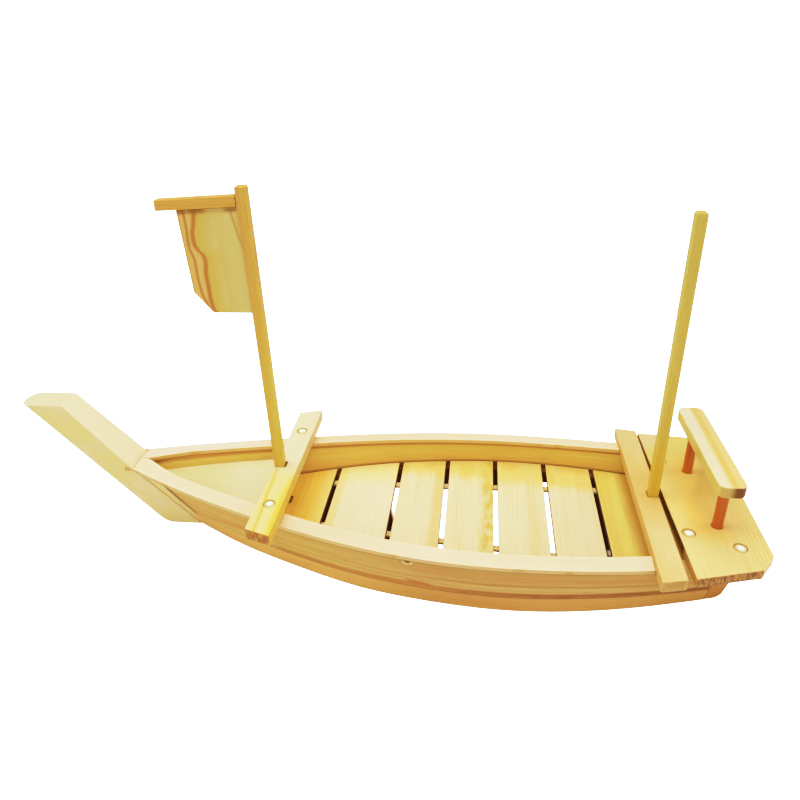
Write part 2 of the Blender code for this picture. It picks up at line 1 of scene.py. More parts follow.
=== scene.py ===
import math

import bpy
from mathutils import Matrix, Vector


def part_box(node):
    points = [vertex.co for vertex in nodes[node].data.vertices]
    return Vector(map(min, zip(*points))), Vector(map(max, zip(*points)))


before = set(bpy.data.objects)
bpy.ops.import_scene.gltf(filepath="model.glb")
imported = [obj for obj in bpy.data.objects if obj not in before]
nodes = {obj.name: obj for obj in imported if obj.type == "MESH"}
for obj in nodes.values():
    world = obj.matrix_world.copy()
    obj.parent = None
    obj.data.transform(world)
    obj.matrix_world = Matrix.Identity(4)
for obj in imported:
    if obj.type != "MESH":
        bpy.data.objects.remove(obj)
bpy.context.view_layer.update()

# Looks of the wooden serving boat. Every CAD piece stays where it is and keeps its shape:
# its arrises are eased with modifiers, and it gets a procedural pine of its own, cut from
# the log in the direction in which the real piece is cut. Lengths inside the materials are
# in millimetres, in the row frame.

scene = bpy.context.scene


# ---------------------------------------------------------------- shader arithmetic
class Num:
    """A number in a node tree, so that formulas below read as formulas."""

    def __init__(self, net, socket):
        self.net, self.socket = net, socket

    def __add__(self, other):
        return self.net.math("ADD", self, other)

    __radd__ = __add__

    def __sub__(self, other):
        return self.net.math("SUBTRACT", self, other)

    def __rsub__(self, other):
        return self.net.math("SUBTRACT", other, self)

    def __mul__(self, other):
        return self.net.math("MULTIPLY", self, other)

    __rmul__ = __mul__

    def __truediv__(self, other):
        return self.net.math("DIVIDE", self, other)

    def __neg__(self):
        return self.net.math("MULTIPLY", self, -1.0)

    def __abs__(self):
        return self.net.math("ABSOLUTE", self)


class Net:
    """Short names for the shader nodes that the materials are made of."""

    def __init__(self, tree):
        self.tree = tree

    def node(self, kind, **settings):
        made = self.tree.nodes.new(kind)
        for key, value in settings.items():
            setattr(made, key, value)
        return made

    def feed(self, socket, value):
        if isinstance(value, Num):
            value = value.socket
        if isinstance(value, bpy.types.NodeSocket):
            self.tree.links.new(value, socket)
        elif isinstance(value, (tuple, list)) and len(socket.default_value) == 4:
            socket.default_value = (*value[:3], 1.0)
        else:
            socket.default_value = value

    def math(self, operation, *values, clamp=False):
        made = self.node("ShaderNodeMath", operation=operation, use_clamp=clamp)
        for socket, value in zip(made.inputs, values):
            self.feed(socket, value)
        return Num(self, made.outputs[0])

    def smooth(self, value, low, high):
        """0 below low, 1 above high, with soft ends."""
        made = self.node("ShaderNodeMapRange", interpolation_type="SMOOTHSTEP", clamp=True)
        for socket, given in zip(made.inputs, (value, low, high, 0.0, 1.0)):
            self.feed(socket, given)
        return Num(self, made.outputs[0])

    def near(self, value, place, half, soft):
        """1 within half of place, falling to 0 over soft."""
        return 1.0 - self.smooth(abs(value - place), half, half + soft)

    def least(self, *values):
        result = values[0]
        for value in values[1:]:
            result = self.math("MINIMUM", result, value)
        return result

    def most(self, *values):
        result = values[0]
        for value in values[1:]:
            result = self.math("MAXIMUM", result, value)
        return result

    def split(self, vector):
        made = self.node("ShaderNodeSeparateXYZ")
        self.feed(made.inputs[0], vector)
        return [Num(self, out) for out in made.outputs]

    def join(self, x, y, z):
        made = self.node("ShaderNodeCombineXYZ")
        for socket, value in zip(made.inputs, (x, y, z)):
            self.feed(socket, value)
        return made.outputs[0]

    def noise(self, vector, detail=2.0, rough=0.5, twist=0.0):
        made = self.node("ShaderNodeTexNoise", noise_dimensions="3D", normalize=True)
        self.feed(made.inputs["Vector"], vector)
        self.feed(made.inputs["Scale"], 1.0)
        self.feed(made.inputs["Detail"], detail)
        self.feed(made.inputs["Roughness"], rough)
        self.feed(made.inputs["Distortion"], twist)
        return Num(self, made.outputs[0])

    def chance(self, value):
        made = self.node("ShaderNodeTexWhiteNoise", noise_dimensions="1D")
        self.feed(made.inputs["W"], value)
        return Num(self, made.outputs["Value"])

    def mix(self, share, one, other, kind="MIX"):
        made = self.node("ShaderNodeMix", data_type="RGBA", blend_type=kind, clamp_factor=True)
        self.feed(made.inputs[0], share)
        self.feed(made.inputs[6], one)
        self.feed(made.inputs[7], other)
        return made.outputs[2]

    def table(self, value, points):
        """A number read from a table of (position, number), both from 0 to 1."""
        made = self.node("ShaderNodeFloatCurve")
        curve = made.mapping.curves[0]
        while len(curve.points) < len(points):
            curve.points.new(0.5, 0.5)
        for point, (at, number) in zip(curve.points, points):
            point.location = (at, number)
            point.handle_type = "AUTO"
        made.mapping.update()
        self.feed(made.inputs["Value"], value)
        return Num(self, made.outputs[0])


# ---------------------------------------------------------------- lines of the hull
def sheer(net, x):
    """Height of the gunwale, mm."""
    run = net.least(x, 211.5) - 162.5
    lift = net.least(net.most((211.5 - x) / 94.0, 0.0), 1.0)
    return 37.1 + run * run * 1.58e-4 + lift * 1.1


def seam(net, x):
    """Height of the joint between the side planks, mm."""
    run = net.least(x, 211.5) - 162.5
    rise = run * run * 1.58e-4
    return 12.4 + rise * 0.25 + rise * rise * 0.014


def polynomial(x, factors):
    total = x * factors[0] + factors[1]
    for factor in factors[2:]:
        total = total * x + factor
    return total


def gunwale(x):
    """Half breadth at the gunwale, mm."""
    return polynomial(x * 0.01, (0.0589, 0.0985, -0.6254, -7.7051, 18.5362, 82.0707))


def foot(x):
    """Half breadth at the table, mm."""
    return polynomial(x * 0.01, (0.2889, -0.3889, -12.4789, 26.5381, 79.7783))


# ---------------------------------------------------------------- the wood
class Here:
    """A point of a piece: its place, and where it lies in the log it was cut from. u runs
    along the grain, v across it and w through the board."""

    def __init__(self, net, x, y, z, facing):
        self.net, self.x, self.y, self.z, self.facing = net, x, y, z, facing
        self.u = self.v = self.w = self.end = None


def along_x(v0, w0):
    def grain(p):
        p.u, p.v, p.w, p.end = p.x, p.y - v0, p.z - w0, p.facing[0]
    return grain


def along_y(v0, w0):
    def grain(p):
        p.u, p.v, p.w, p.end = p.y, p.x - v0, p.z - w0, p.facing[1]
    return grain


def along_z(v0, w0):
    def grain(p):
        p.u, p.v, p.w, p.end = p.z, p.x - v0, p.y - w0, p.facing[2]
    return grain


def stick_x(v0, w0):
    """Along X, seen from the side: across is up."""
    def grain(p):
        p.u, p.v, p.w, p.end = p.x, p.z - v0, p.y - w0, p.facing[0]
    return grain


def upper_plank(p):
    p.u, p.end = p.x, p.facing[0]
    p.v = p.z - sheer(p.net, p.x)
    p.w = abs(p.y) - gunwale(p.x)


def lower_plank(p):
    p.u, p.end = p.x, p.facing[0]
    p.v = p.z - seam(p.net, p.x) * 0.6
    p.w = abs(p.y) - foot(p.x)


def cap_board(p):
    p.u, p.end = p.x, p.facing[0]
    p.v = abs(p.y) - gunwale(p.x)
    p.w = p.z - sheer(p.net, p.x)


def raked_post(p):
    """The stem: its grain follows its rake."""
    p.u = p.x * 0.649 - p.z * 0.761
    p.v = p.x * 0.761 + p.z * 0.649
    p.w = p.y
    p.end = p.facing[2] * 0.761 - p.facing[0] * 0.649


def box_arris(node):
    """Distance to the nearest arris of a board with square sides, mm."""
    low, high = (corner * 1000 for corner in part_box(node))

    def arris(p):
        net = p.net
        near = [net.least(abs(at - a), abs(at - b))
                for at, a, b in zip((p.x, p.y, p.z), low, high)]
        return near[0] + near[1] + near[2] - net.least(*near) - net.most(*near)
    return arris


def plank_arris(p):
    return p.net.least(abs(p.z - seam(p.net, p.x)), abs(p.z))


def cap_arris(p):
    v = abs(p.y) - gunwale(p.x)
    return p.net.least(abs(v), abs(v + 14.3))


def pine(name, grain, early, late, pith=(34.0, -55.0), spacing=3.0, lines=0.5, wobble=1.5,
         fibre=0.5, blotch=0.35, seed=0.0, arris=None, wear=0.35, end_tone=0.62,
         extra=None, rough=0.5, ends=None, flecks=0.25):
    """Pine cut from a log: growth rings round a pith, late wood darker and harder than
    early wood, fibres, resin flecks, soft stains, end grain, and worn arrises."""
    material = bpy.data.materials.new(name)
    material.use_nodes = True
    net = Net(material.node_tree)
    shader = net.tree.nodes["Principled BSDF"]
    place = net.node("ShaderNodeTexCoord")
    scaled = net.node("ShaderNodeVectorMath", operation="SCALE")
    net.feed(scaled.inputs[0], place.outputs["Object"])
    scaled.inputs["Scale"].default_value = 1000.0
    x, y, z = net.split(scaled.outputs[0])
    p = Here(net, x, y, z, net.split(place.outputs["Normal"]))
    grain(p)
    u, v, w = p.u, p.v, p.w

    def field(along, across, shift, **kind):
        return net.noise(net.join(u * along + (seed * 3.17 + shift), v * across + shift * 1.7,
                                  w * across + seed * 1.31), **kind)

    sway = (field(0.005, 0.022, 3.0, detail=1.0) - 0.5) * (wobble * 4.0)
    shiver = (field(0.021, 0.10, 9.0, detail=2.0) - 0.5) * (wobble * 1.5)
    dv, dw = v - pith[0], w - pith[1]
    radius = net.math("SQRT", dv * dv + dw * dw) + sway + shiver
    turn = radius / spacing
    ring = net.math("FLOOR", turn)
    part = turn - ring
    luck = net.chance(ring + seed * 7.0)
    dark = net.smooth(part, 0.25, 0.93) * (1.0 - net.smooth(part, 0.95, 1.0))
    dark = dark * (luck * 0.9 + 0.35)

    streak = field(0.010, 0.42, 21.0, detail=2.0)
    fine = field(0.035, 1.9, 33.0, detail=3.0, rough=0.6)
    stain = field(0.008, 0.030, 47.0, detail=1.0)
    amount = dark * lines + (streak - 0.5) * (fibre * 1.6) + (stain - 0.5) * (blotch * 3.0)
    colour = net.mix(amount, early, late)
    if extra:
        colour = extra(p, colour)

    if ends:
        colour = ends(p, colour)
    else:
        cut = net.smooth(abs(p.end), 0.72, 0.92)
        sawn = net.mix(net.math("MULTIPLY_ADD", dark, 0.55, 0.35), early, late)
        sawn = net.mix(1.0, sawn, (end_tone, end_tone * 0.86, end_tone * 0.70), "MULTIPLY")
        colour = net.mix(cut, colour, sawn)

    fleck = net.smooth(field(0.11, 2.6, 61.0, detail=1.0), 0.63, 0.74) * flecks
    colour = net.mix(fleck, colour, tuple(c * 0.55 for c in late))
    shade = (fine - 0.5) * (fibre * 0.55) + 1.0
    colour = net.mix(1.0, colour, net.join(shade, shade, shade), "MULTIPLY")

    worn = None
    if arris:
        patch = net.noise(net.join(x * 0.09 + seed, y * 0.09, z * 0.09), detail=2.0)
        reach = net.smooth(patch, 0.30, 0.70) * 2.2 + 0.35
        worn = (1.0 - net.smooth(arris(p), reach * 0.25, reach)) * wear
        colour = net.mix(worn, colour, tuple(min(1.0, c * 1.10 + 0.02) for c in early))
    net.feed(shader.inputs["Base Color"], colour)

    polish = (fine - 0.5) * 0.30 - dark * 0.07 + rough + (stain - 0.5) * 0.20
    if worn:
        polish = polish + worn * 0.15
    net.feed(shader.inputs["Roughness"], net.math("MINIMUM", polish, 0.95))
    shader.inputs["Specular IOR Level"].default_value = 0.35

    height = fine * 0.5 + dark * 0.45 - fleck * 1.2
    bump = net.node("ShaderNodeBump")
    bump.inputs["Strength"].default_value = 0.5
    bump.inputs["Distance"].default_value = 0.00012
    net.feed(bump.inputs["Height"], height)
    net.feed(shader.inputs["Normal"], bump.outputs[0])
    return material


PALE, PALE_LATE = (0.80, 0.63, 0.37), (0.68, 0.45, 0.18)
CREAM, CREAM_LATE = (0.80, 0.595, 0.35), (0.68, 0.43, 0.17)
# The side planks' colours, GOLD here and the lower strakes' below, are darker and more golden than PALE and CREAM on
# the tops. This is partly the planks' own tone and partly painted shade of faces that look away from the top light.
GOLD, GOLD_LATE = (0.56, 0.40, 0.152), (0.43, 0.24, 0.065)
SHADOW = (0.10, 0.042, 0.011)
STEM_SIDE = (0.72, 0.62, 0.275)


# ---------------------------------------------------------------- markings of single pieces
def cloud(p, a, b, c, shift=0.0, detail=2.0):
    """Soft noise over a piece, with a scale of its own along each axis."""
    return p.net.noise(p.net.join(p.x * a + shift, p.y * b + shift * 0.7, p.z * c), detail=detail)


def strand(p, along, across, shift=0.0, detail=2.0):
    """Soft noise drawn out along the grain."""
    return p.net.noise(p.net.join(p.u * along + shift, p.v * across, p.w * 0.02), detail=detail)


def wander(net, at, rows):
    """Where a wandering line runs, from rows of (at, place)."""
    rows = sorted(rows)
    start, end = rows[0][0], rows[-1][0]
    low, high = min(r[1] for r in rows), max(r[1] for r in rows)
    share = net.table((at - start) / (end - start),
                      [((a - start) / (end - start), (b - low) / (high - low)) for a, b in rows])
    return share * (high - low) + low


def tray(x):
    """Height of the tray, mm."""
    return 19.7 - (x - 57.5) * 0.018


def from_stem(p):
    """Distance aft of the stem's aft face, mm."""
    return p.x - ((117.4 - p.z) * 0.85 - 259.1)


def knot(p, colour, x, z):
    net = p.net
    dx, dz = p.x - x, (p.z - z) * 1.6
    r = net.math("SQRT", dx * dx + dz * dz) + (cloud(p, 0.5, 0.0, 0.5, 3.0) - 0.5) * 1.2
    below = net.smooth(-dz, -1.0, 1.6)
    colour = net.mix((1.0 - net.smooth(r, 5.6, 7.4)) * (below * 0.5 + 0.3), colour, (0.32, 0.19, 0.05))
    colour = net.mix((1.0 - net.smooth(r, 4.2, 5.4)) * below, colour, (0.66, 0.52, 0.21))
    return net.mix(1.0 - net.smooth(r, 1.7, 2.7), colour, (0.17, 0.11, 0.02))


def joint_lines(p, colour, out, side):
    """Dark lines at the joints of the side planks: along their seam and at the stem."""
    net = p.net
    break_up = strand(p, 0.03, 0.05, 8.0)
    seam_line = net.near(p.z, seam(net, p.x) + 2.0, 1.0, 2.4) * (break_up * 0.4 + 0.65)
    seam_line = seam_line * (net.smooth(p.x, -88.0, -66.0) * 0.8 + net.smooth(p.x, 0.0, 130.0) * 0.25)
    line_tone = net.mix(net.smooth(p.x, 20.0, 150.0), (0.38, 0.145, 0.02), (0.28, 0.085, 0.013))
    line_tone = net.mix(net.smooth(p.x, 175.0, 225.0), line_tone, (0.23, 0.06, 0.008))
    colour = net.mix(seam_line * out, colour, line_tone)
    fairing = net.least(net.most(p.z, 0.0) * 0.85 + 0.9, net.most(p.z - 34.0, 0.0) * 0.2 + 20.9)
    ahead = from_stem(p) - fairing
    wedge = (1.0 - net.smooth(ahead, 3.0, 18.0)) * net.smooth(p.z, 12.0, 24.0)
    colour = net.mix(wedge * out * 0.5, colour, (0.52, 0.25, 0.05))
    colour = net.mix((1.0 - net.smooth(ahead, -1.2, 0.6)) * out, colour, STEM_SIDE)
    broad = 1.7 if side < 0 else 0.6
    butt = net.near(ahead, broad, broad, broad + 0.8) * net.smooth(p.z, 17.0, 28.0)
    return net.mix(butt * out, colour, (0.19, 0.05, 0.006))


def strake_ends(p, colour):
    """Sawn ends of the side planks, faired into the stem at the bow."""
    net = p.net
    cut = net.smooth(abs(p.facing[0]), 0.72, 0.92)
    tone = net.mix(net.smooth(p.x, -150.0, -100.0), STEM_SIDE, (0.36, 0.20, 0.06))
    return net.mix(cut, colour, tone)


def upper_marks(side):
    def extra(p, colour):
        net = p.net
        out = net.smooth(p.facing[1] * side, 0.2, 0.6)
        inner = net.smooth(p.facing[1] * -side, 0.2, 0.6)
        top = sheer(net, p.x) - 3.5
        down = (top - p.z) / (top - seam(net, p.x))
        sway = (strand(p, 0.012, 0.02, 5.0) - 0.5) * 0.16
        aft = net.smooth(p.x, 5.0, 55.0)
        ruddy = net.smooth(strand(p, 0.006, 0.50, 14.0), 0.46, 0.64)
        colour = net.mix(ruddy * out * 0.6, colour, (0.46, 0.245, 0.066))
        light = net.smooth(strand(p, 0.008, 1.00, 19.0), 0.52, 0.70)
        colour = net.mix(light * out * 0.45, colour, (0.62, 0.47, 0.19))
        brown = net.near(down + sway, 0.27, 0.13, 0.16) * aft * (strand(p, 0.01, 0.35, 2.0) * 0.9 + 0.25)
        colour = net.mix(brown * out, colour, (0.46, 0.255, 0.085))
        thread = net.near(down + sway * 0.7, 0.53, 0.012, 0.05) * net.smooth(p.x, 35.0, 70.0)
        colour = net.mix(thread * out * 0.8, colour, (0.34, 0.185, 0.052))
        fore = 1.0 - net.smooth(p.x, -60.0, 30.0)
        colour = net.mix(fore * out, colour, (1.05, 1.06, 0.86), "MULTIPLY")
        bow = (1.0 - net.smooth(p.x, -80.0, -60.0)) * net.near(down + sway * 0.5, 0.6 - (p.x + 105.0) * 0.0045, 0.02, 0.10)
        colour = net.mix(bow * out * 0.6, colour, (0.52, 0.25, 0.05))
        # Painted shade just under the cap, on the outer face.
        colour = net.mix((1.0 - net.smooth(down, 0.01, 0.13)) * out * 0.6, colour, (0.33, 0.22, 0.05))
        colour = joint_lines(p, colour, out, side)
        if side < 0:
            colour = knot(p, colour, 34.9, 36.3)
            resin = net.near(p.z, 17.4 - (p.x - 43.5) * 0.10, 0.5, 1.7) * net.near(p.x, 43.5, 5.0, 9.0)
            colour = net.mix(resin * out * 0.85, colour, (0.42, 0.13, 0.02))
        deep = (top - p.z) / (top - tray(p.x))
        wall = net.mix(net.smooth(deep, 0.30, 1.0), (0.75, 0.56, 0.122), (0.76, 0.465, 0.102))
        wall = net.mix(strand(p, 0.010, 0.55, 6.0) * 0.5, wall, (0.56, 0.33, 0.062))
        wall = net.mix(net.smooth(strand(p, 0.007, 1.1, 16.0), 0.54, 0.70) * 0.4, wall, (0.80, 0.60, 0.17))
        # On the inner face: painted shade under the cap's overhang, a painted shade line where the wall meets the tray,
        # and the wall below the tray painted dark as shade.
        wall = net.mix((1.0 - net.smooth(deep, 0.03, 0.13)) * 0.8, wall, (0.40, 0.17, 0.028))
        wall = net.mix(net.near(deep, 1.02, 0.03, 0.06) * 0.55, wall, (0.30, 0.13, 0.025))
        wall = net.mix(net.smooth(deep, 1.02, 1.08), wall, (0.15, 0.035, 0.006))
        return net.mix(inner, colour, wall)
    return extra


def lower_marks(side):
    def extra(p, colour):
        net = p.net
        out = net.smooth(p.facing[1] * side, 0.2, 0.6)
        warm = strand(p, 0.008, 0.30, 3.0)
        colour = net.mix(warm * 0.5, colour, (0.55, 0.275, 0.067))
        gold = net.smooth(strand(p, 0.007, 0.70, 11.0), 0.50, 0.68) * 0.4
        gold = net.most(gold, (1.0 - net.smooth(p.x, 0.0, 90.0)) * 0.5)
        colour = net.mix(gold * out, colour, (0.60, 0.39, 0.11))
        colour = net.mix((1.0 - net.smooth(p.x, -60.0, 40.0)) * out, colour, (1.27, 1.30, 1.30), "MULTIPLY")
        colour = net.mix(net.near(p.x, 75.0, 25.0, 40.0) * out, colour, (0.95, 0.91, 0.90), "MULTIPLY")
        # The inner faces and the top of the shelf, seen only through the slots, are painted dark as shade.
        inside = net.smooth(-p.facing[1] * side, 0.2, 0.6)
        colour = net.mix(net.most(inside, net.smooth(p.facing[2], 0.4, 0.8)), colour, (0.15, 0.035, 0.006))
        return joint_lines(p, colour, out, side)
    return extra


def cap_marks(side):
    def extra(p, colour):
        net = p.net
        out = net.smooth(p.facing[1] * side, 0.55, 0.85)
        inner = net.smooth(p.facing[1] * -side, 0.55, 0.85)
        # The cap's outer side face, and its inner side face aft of the tip, are painted darker and more golden than its
        # top: painted shade of the side faces.
        colour = net.mix(out * 0.85, colour, net.mix(net.smooth(p.x, -40.0, 60.0), (0.45, 0.34, 0.10), (0.44, 0.29, 0.09)))
        colour = net.mix(inner * net.smooth(p.x, -206.0, -199.0) * 0.9, colour, (0.66, 0.43, 0.09))
        if side > 0:
            colour = net.mix(1.0 - net.smooth(p.x, -150.0, -80.0), colour, (1.03, 1.05, 1.18), "MULTIPLY")
        # Painted shade on the outer face at the very tip of the cap.
        tip = (1.0 - net.smooth(p.x, -212.0, -209.5)) * (1.0 - net.smooth(p.facing[2], 0.5, 0.8))
        return net.mix(tip * out * 0.5, colour, (0.50, 0.33, 0.09))
    return extra


def stem_marks(p, colour):
    net = p.net
    side = net.smooth(abs(p.facing[1]), 0.45, 0.75)
    soft = cloud(p, 0.035, 0.035, 0.035, 7.0, detail=3.0)
    khaki = net.mix(net.smooth(soft, 0.35, 0.65), (0.73, 0.63, 0.255), (0.77, 0.645, 0.385))
    khaki = net.mix(strand(p, 0.012, 0.30, 2.0) * 0.35, khaki, (0.68, 0.56, 0.22))
    colour = net.mix(side * 0.9, colour, khaki)
    return net.mix(net.smooth(p.facing[2], 0.85, 0.97), colour, (0.70, 0.595, 0.34))


def ring_marks(p, colour, places, tone, strength):
    """A ring of painted shade round each wooden plug, darker on one side."""
    net = p.net
    up = net.smooth(p.facing[2], 0.4, 0.8)
    for x, y in places:
        dx, dy = p.x - x, p.y - y
        r = net.math("SQRT", dx * dx + dy * dy)
        part = net.smooth(dy - dx, -7.0, 5.0) * 0.5 + 0.5
        colour = net.mix(net.near(r, 4.9, 0.2, 0.6) * part * up * strength, colour, tone)
    return colour


def rim_marks(x, y, tone, strength):
    """The rim of a plug painted darker as shade, most on the side away from the light."""
    def extra(p, colour):
        net = p.net
        dx, dy = p.x - x, p.y - y
        r = net.math("SQRT", dx * dx + dy * dy) + (cloud(p, 0.35, 0.35, 0.0, 5.0 + x * 0.1) - 0.5) * 2.4
        part = net.smooth(dy - dx, -6.0, 4.0) * 0.25 + 0.75
        return net.mix(net.smooth(r, 2.2, 3.2) * part * strength, colour, tone)
    return extra


def foredeck_marks(p, colour):
    net = p.net
    tint = net.mix(net.smooth(p.x + (cloud(p, 0.03, 0.03, 0.0, 6.0) - 0.5) * 30.0, -150.0, -112.0),
                   (0.93, 0.94, 0.84), (1.03, 1.05, 1.06))
    return net.mix(1.0, colour, tint, "MULTIPLY")


def front_beam_marks(p, colour):
    net = p.net
    up = net.smooth(p.facing[2], 0.4, 0.8)
    sway = (cloud(p, 0.0, 0.03, 0.0, 2.0) - 0.5) * 2.5
    near_half = net.smooth(-p.y, -4.0, 24.0)
    colour = net.mix(near_half * up * 0.65, colour, (0.84, 0.60, 0.19))
    line = wander(net, -p.y, [(0.0, -86.0), (22.0, -82.4), (45.0, -81.8), (68.0, -80.2), (95.0, -79.6)])
    colour = net.mix(net.near(p.x, line, 0.4, 1.5) * near_half * up * 0.85, colour, (0.70, 0.46, 0.085))
    colour = net.mix(net.near(p.x, line - 2.2, 0.8, 2.0) * near_half * up * 0.35, colour, (0.74, 0.56, 0.20))
    edge = wander(net, -p.y, [(-95.0, -66.4), (-10.0, -67.5), (25.0, -72.0), (60.0, -74.0), (95.0, -73.0)])
    band = net.smooth(p.x + sway, edge, edge + 6.5)
    colour = net.mix(band * near_half * up * 0.9, colour, (0.83, 0.54, 0.06))
    brim = net.smooth(p.x, -69.6, -67.4) * net.smooth(-p.y, 10.0, 40.0)
    colour = net.mix(brim * up * 0.6, colour, (0.74, 0.48, 0.045))
    # The aft side face is painted darker and golden, most on its near half: painted shade.
    aft = net.smooth(p.facing[0], 0.45, 0.8)
    colour = net.mix(aft * 0.9, colour, net.mix(near_half, (0.70, 0.55, 0.24), (0.75, 0.50, 0.05)))
    return ring_marks(p, colour, ((-76.7, -54.9), (-76.7, 54.9)), (0.40, 0.34, 0.09), 0.7)


def end_marks(tone, dark, scale):
    """Brown end grain with dark striations, for the ends of a beam that runs across."""
    def ends(p, colour):
        net = p.net
        end = net.smooth(abs(p.facing[1]), 0.6, 0.85)
        mark = net.smooth(cloud(p, scale, 0.0, scale * 0.35, 4.0, detail=3.0), 0.42, 0.62)
        return net.mix(end, colour, net.mix(mark, tone, dark))
    return ends


def slat_marks(number):
    def extra(p, colour):
        net = p.net
        x, y = p.x, p.y
        # Towards the far wall the slats are painted golden and orange: painted shade of the far gunwale.
        far = net.least(47.0, 51.7 - x * 0.1)
        drift = (cloud(p, 0.10, 0.02, 0.0, 3.0) - 0.5) * 14.0 + (strand(p, 0.004, 0.6, 31.0) - 0.5) * 26.0
        zone = net.smooth(y + drift, far - 7.0, far + 11.0)
        colour = net.mix(zone * 0.85, colour, (0.73, 0.51, 0.15))
        colour = net.mix(zone * net.smooth(cloud(p, 0.05, 0.03, 0.0, 15.0), 0.45, 0.68) * 0.6, colour, (0.68, 0.42, 0.10))
        blur = (cloud(p, 0.05, 0.02, 0.0, 6.0) - 0.5)
        bars = net.smooth(strand(p, 0.004, 0.45, 12.0), 0.42, 0.62)
        if number == 1:
            # Slat 1 lies under the front beam: painted warmer all over, and orange-gold towards the beam, as painted
            # shade of the beam.
            colour = net.mix(0.6, colour, (0.80, 0.54, 0.145))
            colour = net.mix(1.0 - net.smooth(x + blur * 8.0, -60.0, -44.0), colour, (0.82, 0.455, 0.066))
            colour = net.mix(bars * 0.55, colour, (0.78, 0.55, 0.12))
        elif number == 2:
            colour = net.mix(0.45, colour, (0.85, 0.68, 0.41))
            # More painted shade of the far gunwale, reaching further on this slat.
            colour = net.mix(net.smooth(y + drift, far - 24.0, far - 4.0) * 0.6, colour, (0.80, 0.62, 0.24))
            saw = cloud(p, 0.0, 0.22, 0.0, 5.0, detail=1.0) * 6.0
            colour = net.mix((1.0 - net.smooth(x + saw, -32.5, -29.5)) * 0.6, colour, (0.77, 0.55, 0.18))
        elif number == 3:
            colour = net.mix(net.smooth(x + blur * 4.0, 43.0, 50.0) * 0.6, colour, (0.68, 0.44, 0.14))
        elif number == 4:
            blots = net.smooth(cloud(p, 0.16, 0.07, 0.0, 9.0, detail=3.0), 0.36, 0.62)
            colour = net.mix(net.smooth(x + blur * 12.0, 84.0, 95.0) * (blots * 0.65 + 0.3), colour, (0.58, 0.39, 0.07))
        elif number == 5:
            colour = net.mix(net.near(x + blur * 6.0, 132.0, 2.0, 5.0) * 0.35, colour, (0.66, 0.47, 0.19))
        elif number == 7:
            # Slat 7 is painted warmer all over as painted shade of the stern beam.
            colour = net.mix(0.75, colour, (0.67, 0.485, 0.092))
            colour = net.mix(bars * 0.4, colour, (0.62, 0.40, 0.08))
            colour = net.mix(net.near(x + blur * 8.0, 206.0, 1.5, 5.0) * 0.6, colour, (0.76, 0.64, 0.17))
            # Orange towards the stern beam: painted shade of the beam.
            colour = net.mix(net.smooth(x + blur * 8.0, 207.0, 222.0) * 0.85, colour, (0.58, 0.33, 0.06))
        # The slats' side faces, the walls of the slots, are painted dark as shade.
        sawn = net.smooth(abs(p.facing[0]), 0.55, 0.85)
        return net.mix(sawn, colour, SHADOW)
    return extra


def stern_beam_marks(p, colour):
    net = p.net
    soft = cloud(p, 0.03, 0.012, 0.0, 2.0)
    colour = net.mix(net.smooth(soft, 0.35, 0.7) * 0.6, colour, (0.66, 0.43, 0.15))
    colour = net.mix(net.smooth(p.y, 0.0, 90.0) * 0.55, colour, (0.56, 0.37, 0.115))
    colour = net.mix(net.near(p.y, 4.0, 15.0, 45.0), colour, (0.93, 0.88, 0.77), "MULTIPLY")
    colour = net.mix(net.smooth(p.y, 45.0, 88.0), colour, (0.94, 1.04, 1.23), "MULTIPLY")
    # The fore side face is painted darker and more golden: painted shade.
    fore = net.smooth(-p.facing[0], 0.45, 0.8)
    colour = net.mix(fore * 0.8, colour, (0.60, 0.40, 0.11))
    return gap_marks(p, colour, p.facing[0])


def gap_marks(p, colour, facing):
    """Painted shade in the gap between the stern beam and the deck, which is lighter at its open end."""
    net = p.net
    tone = net.mix(net.smooth(-p.y + (cloud(p, 0.2, 0.2, 0.2, 1.0) - 0.5) * 8.0, 62.0, 70.0),
                   (0.13, 0.05, 0.014), (0.52, 0.31, 0.09))
    tone = net.mix(net.smooth(p.y, 16.0, 40.0), tone, (0.36, 0.19, 0.04))
    return net.mix(net.smooth(facing, 0.45, 0.8), colour, tone)


